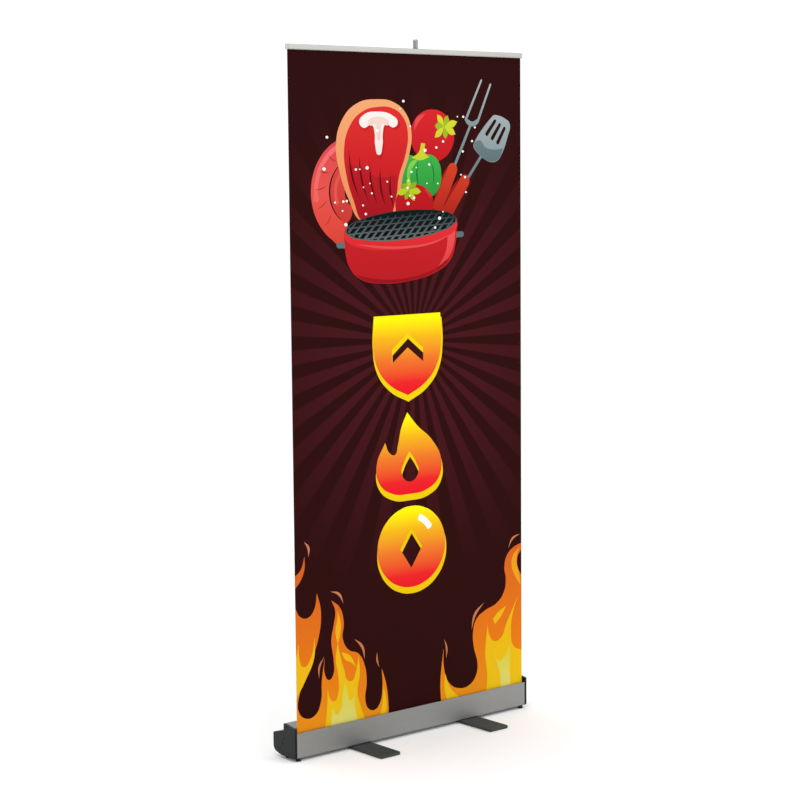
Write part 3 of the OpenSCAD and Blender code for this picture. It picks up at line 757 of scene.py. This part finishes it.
wisp_tan = ink("wisp_tan", [(0.0, tone(206, 120, 74)), (1.0, tone(212, 134, 92))], 90, 650)
rim_yellow = ink("rim_yellow", [(0.0, tone(250, 208, 16)), (1.0, tone(252, 226, 20))], 440, 1320)
print("inks mixed")

# %% [markdown]
# ## The grill bowl
# The picture's lower part is a round bottomed bowl with a rolled rim. Its body is one smooth outline,
# the rim is a turned oval, and a bright crescent on the rim and a long shine down the right side make
# it look round. The grate is a dark oval with bars cut to the oval's own width.

# %% Grill bowl
bowl = start_drawing("print_bowl")
lay_shape(bowl, bowl_red, 8, [(-255, 1562, SHARP), (-254, 1500), (-236, 1450), (-196, 1417), (-120, 1402),
    (0, 1406), (100, 1428), (156, 1460), (180, 1510), (187, 1590, SHARP), (60, 1545), (-100, 1535)])
lay_shape(bowl, bowl_shade, 9, [(-214, 1432, SHARP), (-120, 1414), (0, 1417), (100, 1440),
    (152, 1470, SHARP), (148, 1458), (92, 1428), (0, 1408), (-120, 1404), (-190, 1417)])
lay_shape(bowl, bowl_shine, 9, [(150, 1558, SHARP), (180, 1572, SHARP), (174, 1514), (150, 1470),
    (104, 1438, SHARP), (140, 1490)])
for handle_x, handle_z, way in ((-262, 1520, -1), (190, 1540, 1)):
    lay_shape(bowl, tool_dark, 7, rod(handle_x - 14 * way, handle_z, handle_x + 16 * way, handle_z + 1,
        18, 18))
rim_x, rim_z, rim_lean = -34, 1574, 3.5
grate_half_x, grate_half_z = 218, 43
lay_shape(bowl, bowl_rim, 10, oval(rim_x, rim_z - 15, 223, 57, rim_lean, 16))
lay_shape(bowl, bowl_shine, 11, [(-222, 1524, SHARP), (-130, 1508), (-20, 1504), (90, 1516),
    (172, 1546, SHARP), (90, 1522), (-20, 1511), (-130, 1515)])
lay_shape(bowl, grate_dark, 12, oval(rim_x, rim_z, grate_half_x, grate_half_z, rim_lean, 16))
grate_turn = Matrix.Rotation(math.radians(rim_lean), 2)


def on_grate(u, v):
    """A point of the grate, from places along and across its oval."""
    spot = grate_turn @ Vector((u, v))
    return rim_x + spot.x, rim_z + spot.y


for row, wide in ((-29, 4.4), (-10, 4.0), (8, 3.6), (24, 3.0)):
    half = grate_half_x * math.sqrt(1 - (row / grate_half_z) ** 2) - 5
    lay_shape(bowl, grate_bar, 13, rod(*on_grate(-half, row), *on_grate(half, row), wide,
        round_ends=False))
slant = 1.15
inside_rim = 0.93
bar_gap = 29.0
for bar in range(-8, 9):
    foot = bar * bar_gap
    reach = [v for v in range(-42, 34, 2)
             if ((foot + slant * v) / grate_half_x) ** 2 + (v / grate_half_z) ** 2 < inside_rim]
    if len(reach) > 3:
        low, high = reach[0], reach[-1]
        near, out = on_grate(foot + slant * low, low), on_grate(foot + slant * high, high)
        lay_shape(bowl, grate_bar, 14, rod(*near, *out, 8.0, 5.0, round_ends=False))
lay_shape(bowl, grate_bar, 15, oval(rim_x, rim_z, grate_half_x + 1, grate_half_z + 1, rim_lean, 16),
    oval(rim_x, rim_z + 1, grate_half_x - 4, grate_half_z - 2, rim_lean, 16))
finish_drawing(bowl)

# %% [markdown]
# ## The food
# Two bent sausages, a steak with its rim of fat and a T shaped bone, two tomatoes and a green pepper
# stand behind the grate. Each is a body, a darker or lighter shape over it, and a few details. A sausage
# is one thick curved stroke with round ends, and the grill marks are slivers with sharp ends.

# %% Sausages and steak
food = start_drawing("print_food")
lay_shape(food, sausage_skin, 2, arc_stroke(-214, 1676, 131, 84, 252, 66, 12))
lay_shape(food, sausage_shine, 3, arc_stroke(-214, 1676, 146, 112, 190, 15, 10))
lay_shape(food, sausage_under, 2.5, arc_stroke(-206, 1676, 74, 80, 244, 54, 12))
lay_shape(food, sausage_skin, 3.5, arc_stroke(-206, 1676, 82, 100, 205, 12, 10))
bend_centre = Vector((-214, 1676))
for degrees in (126, 148, 170, 192, 214):
    a = math.radians(degrees)
    near = bend_centre + Vector((math.cos(a), math.sin(a))) * 108
    out = bend_centre + Vector((math.cos(a + 0.12), math.sin(a + 0.12))) * 150
    lay_shape(food, sausage_line, 4, wisp(near.x, near.y, out.x, out.y, 3, 3.4))
steak = [(-124, 1948), (-206, 1934), (-262, 1884), (-284, 1812), (-270, 1730), (-236, 1650), (-196, 1592),
    (-84, 1592), (-44, 1650), (-30, 1720), (-4, 1784), (6, 1850), (-14, 1906), (-62, 1940)]
lay_shape(food, fat_tan, 5, steak)
lay_shape(food, meat_red, 6, [(-122, 1926), (-190, 1908), (-236, 1862), (-254, 1800), (-246, 1724),
    (-220, 1650), (-186, 1588), (-92, 1588), (-58, 1652), (-44, 1722), (-18, 1786), (-8, 1848),
    (-26, 1896), (-66, 1922)])
lay_shape(food, meat_dark, 7, [(-244, 1756, SHARP), (-190, 1748), (-130, 1720), (-52, 1724, SHARP),
    (-60, 1660), (-92, 1600), (-182, 1594), (-220, 1656)])
for number in range(5):
    shift = 40 * number
    mark_top, mark_foot = (-238 + shift, 1800 - shift * 0.45), (-196 + shift * 0.82, 1650 - shift * 0.16)
    lay_shape(food, meat_mark, 8, wisp(*mark_top, *mark_foot, -8, 7))
bone = [(-196, 1880), (-182, 1900), (-126, 1912), (-66, 1900), (-48, 1882), (-62, 1866), (-96, 1874),
    (-106, 1850), (-108, 1812), (-122, 1784), (-136, 1812), (-138, 1850), (-148, 1872), (-180, 1864)]
lay_shape(food, meat_dark, 8, moved(bone, 5, -8, 1.06, (-122, 1860)))
lay_shape(food, bone_white, 9, bone)
lay_shape(food, bone_pink, 10, moved(bone, 0, 0, 0.55, (-122, 1878)))

# %% Tomatoes and pepper
def leaf_crown(drawing, layer, x, z, size, turn):
    """Seven pointed leaves about a stalk."""
    for number in range(7):
        a = math.radians(turn + 360 / 7 * number)
        length = size * (1.0, 0.8, 0.95, 0.7)[number % 4]
        along = Vector((1.12 * math.cos(a), 0.92 * math.sin(a)))
        across = Vector((-along.y, along.x)) * size * 0.2
        middle, tip = Vector((x, z)) + along * length * 0.62, Vector((x, z)) + along * length
        leaf = [(x, z, SHARP), (*(middle + across),), (*tip, SHARP), (*(middle - across),)]
        lay_shape(drawing, leaf_lime if number % 2 == 0 else leaf_shade, layer + number * 0.12, leaf)


lay_shape(food, tomato_red, 2, oval(90, 1842, 88, 79))
lay_shape(food, tomato_shine, 3, wisp(16, 1856, 62, 1908, 10, 15))
leaf_crown(food, 3, 138, 1869, 50, 20)
lay_shape(food, pepper_green, 4, [(-56, 1730), (-40, 1770), (-2, 1784), (34, 1774), (68, 1786),
    (108, 1770), (124, 1728), (112, 1680), (76, 1656), (34, 1664), (-12, 1656), (-48, 1686)])
lay_shape(food, pepper_line, 5, wisp(32, 1772, 38, 1676, -9, 5))
lay_shape(food, pepper_line, 5, wisp(78, 1774, 92, 1690, 8, 4))
lay_shape(food, pepper_shine, 5, [(-14, 1722, SHARP), (-6, 1752), (12, 1768), (30, 1768, SHARP),
    (14, 1752), (2, 1736), (-2, 1712), (-2, 1690, SHARP)])
lay_shape(food, leaf_lime, 6, [(4, 1776, SHARP), (34, 1792), (44, 1820, SHARP), (60, 1818, SHARP),
    (58, 1792), (76, 1778, SHARP), (40, 1768)])
lay_shape(food, tomato_red, 6, oval(16, 1636, 76, 60))
lay_shape(food, tomato_shine, 7, wisp(52, 1684, 82, 1650, 5, 8))
leaf_crown(food, 7, -6, 1680, 44, -10)

# %% [markdown]
# ## Fork and turner
# The two tools lean out to the right. Their grips are tapered bars with a dark side, the fork's head is
# one outline with two prongs, and the turner's blade is an outline with three slots as holes.

# %% Fork and turner
lay_shape(food, tool_grey, 1, rod(176, 1746, 248, 1880, 10, 9))
lay_shape(food, tool_grey, 1.5, [(222, 1900, SHARP), (226, 1884), (246, 1872), (268, 1875), (282, 1890),
    (280, 1898, SHARP), (268, 1891), (252, 1886), (236, 1892)])
lay_shape(food, tool_grey, 1.7, rod(226, 1892, 291, 2012, 9, 7))
lay_shape(food, tool_grey, 1.7, rod(277, 1890, 329, 2000, 9, 7))
lay_shape(food, grip_red, 2, rod(112, 1630, 170, 1740, 44, 40))
lay_shape(food, grip_shade, 3, wisp(92, 1640, 150, 1752, 2, 9))
lay_shape(food, tool_grey, 1, rod(228, 1706, 298, 1790, 10, 9))
blade = [(262, 1824), (257, 1811), (266, 1797), (308, 1768), (334, 1761), (356, 1765), (370, 1777),
    (404, 1846), (412, 1870), (408, 1885), (395, 1894), (358, 1906), (343, 1906), (330, 1897)]
slot_way, blade_across = Vector((0.60, 0.80)), Vector((0.8, -0.45))
blade_middle = Vector((352, 1856))
slots = []
for number in (-1, 0, 1):
    start = blade_middle + blade_across * 29 * number - slot_way * 26
    end = blade_middle + blade_across * 25 * number + slot_way * 26
    slots.append(rod(start.x, start.y, end.x, end.y, 13, 11))
lay_shape(food, tool_light, 2, blade, *slots)
lay_shape(food, tool_dark, 2.6, [(264, 1824, SHARP), (259, 1811), (267, 1798), (308, 1769), (334, 1763),
    (356, 1767), (370, 1780), (382, 1804, SHARP), (346, 1800), (306, 1808), (286, 1828)])
lay_shape(food, grip_red, 3, rod(150, 1612, 220, 1704, 44, 40))
lay_shape(food, grip_shade, 4, wisp(130, 1624, 200, 1718, 2, 9))
finish_drawing(food)

# %% [markdown]
# ## Salt and sparks
# Small pale dots lie over the food. Their places come from a seeded draw, so they fall the same way on
# every run.

# %% Salt and sparks
salt = start_drawing("print_salt")
pick = random.Random(23)
grains = []
grain_gap = 13
for _ in range(46):
    x, z = pick.uniform(-300, 230), pick.gauss(1710, 95)
    size = pick.choice([2.2, 2.6, 3.0, 3.6, 5.0])
    alone = all(math.dist((x, z), grain) > grain_gap for grain in grains)
    if 1560 < z < 1960 and alone:
        grains.append((x, z))
        lay_shape(salt, dot_white, 17, oval(x, z, size * 1.25, size, 0, 8))
stray_grains = ((-318, 1836, 4), (-26, 1944, 4), (214, 1900, 3.4), (262, 1868, 3), (250, 1826, 3.4),
                (-330, 1744, 5))
for x, z, size in stray_grains:
    lay_shape(salt, dot_white, 17, oval(x, z, size * 1.25, size, 0, 8))
finish_drawing(salt)

# %% [markdown]
# ## Three bold emblems
# Down the middle stand three plain emblems: a shield, a flame and a disc. Each is a fill shaded from
# yellow through orange to red over a bright yellow copy set lower, which reads as a thick edge, and
# each has a hole that the ground shows through.

# %% Emblems
def lay_emblem(name, low, high, outline, hole, middle, drop=17):
    """The yellow edge below, and the shaded fill with its hole above."""
    drawing = start_drawing("print_emblem_" + name)
    fill = ink("emblem_" + name, [(0.0, tone(232, 26, 40)), (0.16, tone(234, 40, 42)),
        (0.46, tone(236, 122, 44)), (0.72, tone(242, 182, 28)), (0.95, tone(254, 242, 12))], low, high,
        strength=0.92)
    lay_shape(drawing, rim_yellow, 2, moved(outline, 2, -drop, 1.025, middle), moved(hole, 2, -drop))
    lay_shape(drawing, fill, 3, outline, hole)
    return drawing


shield = [(-148, 1304, SHARP), (-16, 1304, SHARP), (116, 1304, SHARP), (120, 1230), (104, 1150),
    (56, 1094), (-16, 1058, SHARP), (-88, 1094), (-136, 1150), (-152, 1230)]
chevron = [(-16, 1248, SHARP), (46, 1200, SHARP), (46, 1158, SHARP), (-16, 1204, SHARP),
    (-78, 1158, SHARP), (-78, 1200, SHARP)]
finish_drawing(lay_emblem("shield", 1060, 1304, shield, chevron, (-16, 1180)))
flame_badge = [(-20, 1006, SHARP), (18, 964), (80, 912), (116, 850), (106, 794), (60, 762), (-12, 754),
    (-84, 762), (-134, 800), (-142, 856), (-108, 920, SHARP), (-92, 888), (-70, 880), (-58, 908),
    (-44, 960)]
flame_hole = [(-12, 886, SHARP), (14, 850), (24, 820), (-10, 792), (-44, 820), (-36, 850)]
finish_drawing(lay_emblem("flame", 756, 1000, flame_badge, flame_hole, (-12, 870)))
diamond = [(-8, 648, SHARP), (36, 586, SHARP), (-8, 524, SHARP), (-52, 586, SHARP)]
disc = lay_emblem("disc", 462, 716, oval(-6, 590, 136, 126, 0, 16), diamond, (-6, 590))
lay_shape(disc, dot_white, 4, arc_stroke(-14, 588, 98, 34, 66, 21))
finish_drawing(disc)

# %% [markdown]
# ## Flames in the lower corners
# The flames are three tones laid over each other: orange outside, gold inside and a pale heart. A tongue
# is a smooth line that ends in one sharp point, and the bays between tongues are round. Slivers of tan
# fly off the tips. The outer sides stop at the edge of the film.

# %% Flames
side = film_high.x / MM
foot = 79
left_flames = start_drawing("print_flames_left")
lay_shape(left_flames, flame_orange, 2, [(-side, foot, SHARP), (-side, 462, SHARP), (-440, 434),
    (-412, 426), (-388, 446), (-376, 496, SHARP), (-362, 440), (-372, 360), (-408, 280), (-446, 200),
    (-450, 150), (-424, 124), (-388, 128), (-366, 166), (-362, 226), (-350, 296, SHARP), (-350, 246),
    (-334, 226), (-318, 240), (-316, 282), (-324, 346), (-314, 392), (-308, 432), (-322, 466, SHARP),
    (-290, 440), (-276, 394), (-280, 342), (-258, 306), (-220, 288), (-196, 246), (-190, 192),
    (-196, 144), (-184, 112), (-158, 104), (-138, 122), (-128, 168), (-130, 228, SHARP), (-114, 180),
    (-106, 130), (-104, foot, SHARP)])
lay_shape(left_flames, flame_orange, 2, [(-side, 520, SHARP), (-side, 556, SHARP), (-436, 572),
    (-420, 612, SHARP), (-422, 570), (-440, 536)])
lay_shape(left_flames, flame_gold, 3, [(-352, foot, SHARP), (-344, 130), (-340, 200, SHARP), (-330, 166),
    (-314, 158), (-300, 180), (-300, 236), (-308, 280), (-300, 336, SHARP), (-290, 290), (-276, 246),
    (-264, 214), (-244, 210), (-232, 234), (-220, 282, SHARP), (-216, 230), (-226, 170), (-214, 124),
    (-196, foot, SHARP)])
lay_shape(left_flames, flame_gold, 3, [(-side, 190, SHARP), (-side, 310, SHARP), (-446, 356, SHARP),
    (-444, 306), (-428, 280), (-404, 300), (-386, 366, SHARP), (-390, 300), (-420, 244)])
lay_shape(left_flames, flame_gold, 3, [(-300, 330, SHARP), (-308, 370), (-300, 410), (-302, 436, SHARP),
    (-288, 396), (-290, 360)])
lay_shape(left_flames, flame_gold, 3, [(-286, 304, SHARP), (-252, 286), (-230, 248, SHARP), (-250, 266),
    (-272, 278)])
lay_shape(left_flames, flame_gold, 3, [(-140, foot, SHARP), (-128, 120), (-124, 170, SHARP), (-114, 130),
    (-114, foot, SHARP)])
lay_shape(left_flames, flame_pale, 4, [(-330, foot, SHARP), (-322, 138, SHARP), (-308, 116), (-292, 128),
    (-284, 170), (-272, 222, SHARP), (-264, 176), (-252, 150), (-236, 186, SHARP), (-238, 140),
    (-226, foot, SHARP)])
for sliver in ((-422, 656, -406, 608, 9, 8), (-326, 494, -276, 450, 12, 8), (-236, 336, -196, 266, 12, 9),
               (-148, 282, -140, 232, -4, 6), (-352, 300, -372, 236, -9, 7)):
    lay_shape(left_flames, wisp_tan, 4, wisp(*sliver))
finish_drawing(left_flames)

right_flames = start_drawing("print_flames_right")
lay_shape(right_flames, flame_orange, 2, [(110, foot, SHARP), (107, 140), (112, 190), (122, 250, SHARP),
    (122, 190), (142, 138), (184, 112), (232, 116), (260, 146), (264, 182), (250, 230), (246, 284),
    (262, 324), (300, 346), (348, 362), (380, 394), (388, 436), (382, 474), (394, 512), (422, 534),
    (side, 544, SHARP), (side, 524, SHARP), (440, 500), (440, 468), (side, 438, SHARP),
    (side, foot, SHARP)])
lay_shape(right_flames, flame_gold, 3, [(300, foot, SHARP), (306, 132), (298, 200), (308, 298, SHARP),
    (316, 262), (336, 240), (366, 246), (390, 290), (444, 376, SHARP), (418, 318), (410, 262), (420, 212),
    (side, 192, SHARP), (side, foot, SHARP)])
lay_shape(right_flames, flame_gold, 3, [(452, 532, SHARP), (420, 508), (413, 478), (428, 440),
    (452, 408, SHARP), (446, 448), (436, 480), (438, 508)])
lay_shape(right_flames, flame_gold, 3, [(332, 312, SHARP), (352, 330), (390, 348, SHARP), (368, 318),
    (340, 294, SHARP)])
lay_shape(right_flames, flame_gold, 3, [(136, foot, SHARP), (124, 124), (128, 168, SHARP), (144, 126),
    (190, foot, SHARP)])
lay_shape(right_flames, flame_pale, 4, [(366, foot, SHARP), (360, 130), (338, 194, SHARP), (356, 174),
    (380, 182), (408, 232, SHARP), (404, 160), (406, foot, SHARP)])
for sliver in ((124, 280, 132, 216, 6, 7), (294, 372, 239, 290, -14, 10), (452, 574, 399, 533, -12, 7)):
    lay_shape(right_flames, wisp_tan, 4, wisp(*sliver))
finish_drawing(right_flames)
